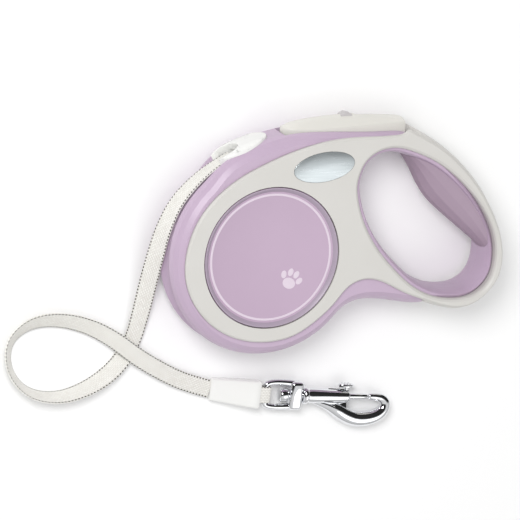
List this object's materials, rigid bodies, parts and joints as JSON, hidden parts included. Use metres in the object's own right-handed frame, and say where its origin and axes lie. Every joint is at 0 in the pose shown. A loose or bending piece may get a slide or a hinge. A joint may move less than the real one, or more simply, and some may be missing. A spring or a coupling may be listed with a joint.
{
  "type": "retractable leash",
  "caption": "Flat-lying retractable tape leash: round drum case with closed hand grip, brake button, free tape, sleeve and swivel snap hook.",
  "frame": {"origin": "on the drum's axis, on the rear face that the leash lies on", "axes": "+Z through the thickness of the case to the front face, +X from the drum towards the hand grip, +Y towards the brake button"},
  "size_m": [0.2401, 0.1552, 0.0282],
  "materials": {
    "lilac_plastic": "satin",
    "off_white_plastic": "fine matt",
    "badge_lilac": "satin gloss",
    "label_metal": "brushed",
    "grip_rubber": "soft matt",
    "guide_plastic": "gloss",
    "steel": "ground",
    "spring_steel": "blued",
    "woven_tape": "woven",
    "sleeve_plastic": "gloss",
    "reel_plastic": "moulded",
    "chrome": "polished"
  },
  "bodies": {
    "case": {"rear_shell": "lilac_plastic", "front_shell": "lilac_plastic", "rear_cover": "off_white_plastic", "front_cover": "off_white_plastic", "front_badge": "badge_lilac", "rear_badge": "badge_lilac", "front_label_plate": "label_metal", "rear_label_plate": "label_metal", "grip_pad": "grip_rubber", "tape_guide": "guide_plastic", "axle": "steel", "case_screws": "steel", "button_pin": "steel", "button_spring": "spring_steel", "pawl_pin": "steel", "tape_inner_run": "woven_tape", "leash_tape": "woven_tape", "tape_sleeve": "sleeve_plastic", "tape_end_loop": "woven_tape"},
    "reel": {"reel_hub": "reel_plastic", "ratchet_flange": "reel_plastic", "spring_cover": "reel_plastic", "mainspring": "spring_steel", "wound_tape": "woven_tape", "tape_anchor_pin": "steel"},
    "brake_button": {"brake_button": "off_white_plastic"},
    "lock_slider": {"lock_slider": "guide_plastic"},
    "brake_pawl": {"brake_pawl": "reel_plastic"},
    "swivel_eye": {"swivel_eye": "chrome"},
    "snap_hook": {"snap_body": "chrome", "swivel_rivet": "chrome", "bolt_spring": "spring_steel"},
    "snap_bolt": {"snap_bolt": "chrome", "thumb_knob": "chrome"}
  },
  "joints": [
    {"name": "reel_spin", "type": "hinge", "parent": "case", "child": "reel", "pos_m": [0, 0, 0.014], "axis": [0, 0, 1], "continuous": true},
    {"name": "brake_press", "type": "hinge", "parent": "case", "child": "brake_button", "pos_m": [0.0625, 0.0536, 0.014], "axis": [0, 0, 1], "range_deg": [0, 2.9], "stiffness_Nm_per_rad": 1.5, "springref_deg": -2.86, "deforming": ["button_spring"]},
    {"name": "lock_slide", "type": "slide", "parent": "brake_button", "child": "lock_slider", "axis": [1, 0, 0], "range_m": [0, 0.004]},
    {"name": "pawl_swing", "type": "hinge", "parent": "case", "child": "brake_pawl", "pos_m": [0.03, 0.0465, 0.0198], "axis": [0, 0, 1], "range_deg": [0, 9]},
    {"name": "eye_swing", "type": "hinge", "parent": "case", "child": "swivel_eye", "pos_m": [0.01039, -0.07247, 0.0045], "axis": [0.0837, 0.9965, 0], "range_deg": [-75, 75]},
    {"name": "hook_swivel", "type": "hinge", "parent": "swivel_eye", "child": "snap_hook", "pos_m": [0.03112, -0.07421, 0.0045], "axis": [0.9965, -0.0837, 0], "continuous": true},
    {"name": "bolt_slide", "type": "slide", "parent": "snap_hook", "child": "snap_bolt", "axis": [-0.9965, 0.0837, 0], "range_m": [0, 0.008], "stiffness_N_per_m": 200, "springref_m": -0.006, "deforming": ["bolt_spring"]}
  ],
  "couplings": [
    {"joint": "pawl_swing", "follows": "brake_press", "ratio": 3.1}
  ]
}
